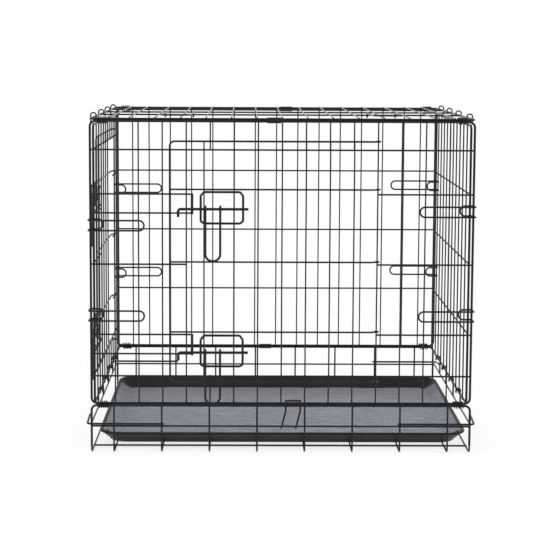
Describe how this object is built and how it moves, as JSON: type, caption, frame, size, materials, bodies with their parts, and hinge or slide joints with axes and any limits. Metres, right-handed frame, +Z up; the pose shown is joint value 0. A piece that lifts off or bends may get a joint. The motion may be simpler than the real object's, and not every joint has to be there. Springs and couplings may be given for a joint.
{
  "type": "wire dog crate",
  "caption": "Folding wire dog crate in black coated wire with a front door, an end door, slide-bolt latches, a pull-out plastic tray and a fabric mat.",
  "frame": {"origin": "on the floor under the middle of the crate's bounding box", "axes": "+X to the crate's right seen from the front door, +Y to the back, +Z up"},
  "size_m": [0.6468, 0.4926, 0.5582],
  "materials": {
    "coated_wire": "semi-gloss black coating on steel wire",
    "tray_plastic": "black moulded plastic with a fine grain",
    "mat_fabric": "blue-grey speckled woven fabric"
  },
  "bodies": {
    "crate": {"base_frame": "coated_wire", "front_panel": "coated_wire", "back_panel": "coated_wire", "roof_panel": "coated_wire", "front_corner_clips": "coated_wire", "back_corner_clips": "coated_wire", "top_front_coils": "coated_wire", "top_front_clip": "coated_wire", "top_back_coils": "coated_wire", "top_back_clip": "coated_wire", "base_front_coils": "coated_wire", "base_back_coils": "coated_wire", "base_back_clip": "coated_wire"},
    "front_door": {"front_door": "coated_wire", "front_upper_guide": "coated_wire", "front_lower_guide": "coated_wire"},
    "left_end": {"left_end_panel": "coated_wire"},
    "left_door": {"left_door": "coated_wire", "left_upper_guide": "coated_wire", "left_lower_guide": "coated_wire"},
    "right_end": {"right_end_panel": "coated_wire"},
    "tray": {"tray": "tray_plastic", "mat": "mat_fabric"},
    "tray_keeper": {"tray_keeper": "coated_wire"},
    "left_carry_handle": {"left_carry_handle": "coated_wire"},
    "right_carry_handle": {"right_carry_handle": "coated_wire"},
    "front_upper_bolt": {"front_upper_bolt": "coated_wire"},
    "front_upper_handle": {"front_upper_handle": "coated_wire"},
    "front_lower_bolt": {"front_lower_bolt": "coated_wire"},
    "front_lower_handle": {"front_lower_handle": "coated_wire"},
    "left_upper_bolt": {"left_upper_bolt": "coated_wire"},
    "left_upper_handle": {"left_upper_handle": "coated_wire"},
    "left_lower_bolt": {"left_lower_bolt": "coated_wire"},
    "left_lower_handle": {"left_lower_handle": "coated_wire"}
  },
  "joints": [
    {"name": "front_door_hinge", "type": "hinge", "parent": "crate", "child": "front_door", "pos_m": [0.15912, -0.22401, 0.316], "axis": [0, 0, 1], "range_deg": [0, 160]},
    {"name": "left_end_fold", "type": "hinge", "parent": "crate", "child": "left_end", "pos_m": [-0.30338, 0.00624, 0.08], "axis": [0, -1, 0], "range_deg": [-88, 0]},
    {"name": "right_end_fold", "type": "hinge", "parent": "crate", "child": "right_end", "pos_m": [0.31062, 0.00624, 0.08], "axis": [0, -1, 0], "range_deg": [0, 88]},
    {"name": "left_door_hinge", "type": "hinge", "parent": "left_end", "child": "left_door", "pos_m": [-0.30112, 0.12248, 0.316], "axis": [0, 0, -1], "range_deg": [0, 160]},
    {"name": "tray_slide", "type": "slide", "parent": "crate", "child": "tray", "axis": [-1, 0, 0], "range_m": [0, 0.5]},
    {"name": "tray_keeper_swing", "type": "hinge", "parent": "crate", "child": "tray_keeper", "pos_m": [0.02363, -0.22747, 0.0809], "axis": [1, 0, 0], "range_deg": [0, 70]},
    {"name": "left_carry_lift", "type": "hinge", "parent": "crate", "child": "left_carry_handle", "pos_m": [-0.17037, -0.06577, 0.5496], "axis": [-1, 0, 0], "range_deg": [0, 100]},
    {"name": "right_carry_lift", "type": "hinge", "parent": "crate", "child": "right_carry_handle", "pos_m": [0.17763, -0.06577, 0.5496], "axis": [-1, 0, 0], "range_deg": [0, 100]},
    {"name": "front_upper_bolt_slide", "type": "slide", "parent": "front_door", "child": "front_upper_bolt", "axis": [1, 0, 0], "range_m": [0, 0.03]},
    {"name": "front_upper_handle_lift", "type": "hinge", "parent": "front_upper_bolt", "child": "front_upper_handle", "pos_m": [-0.10687, -0.23997, 0.405], "axis": [-1, 0, 0], "range_deg": [0, 110]},
    {"name": "front_lower_bolt_slide", "type": "slide", "parent": "front_door", "child": "front_lower_bolt", "axis": [1, 0, 0], "range_m": [0, 0.03]},
    {"name": "front_lower_handle_lift", "type": "hinge", "parent": "front_lower_bolt", "child": "front_lower_handle", "pos_m": [-0.10687, -0.23997, 0.17], "axis": [-1, 0, 0], "range_deg": [0, 110]},
    {"name": "left_upper_bolt_slide", "type": "slide", "parent": "left_door", "child": "left_upper_bolt", "axis": [0, 1, 0], "range_m": [0, 0.03]},
    {"name": "left_upper_handle_lift", "type": "hinge", "parent": "left_upper_bolt", "child": "left_upper_handle", "pos_m": [-0.31707, -0.06502, 0.405], "axis": [0, 1, 0], "range_deg": [0, 110]},
    {"name": "left_lower_bolt_slide", "type": "slide", "parent": "left_door", "child": "left_lower_bolt", "axis": [0, 1, 0], "range_m": [0, 0.03]},
    {"name": "left_lower_handle_lift", "type": "hinge", "parent": "left_lower_bolt", "child": "left_lower_handle", "pos_m": [-0.31707, -0.06502, 0.17], "axis": [0, 1, 0], "range_deg": [0, 110]}
  ]
}
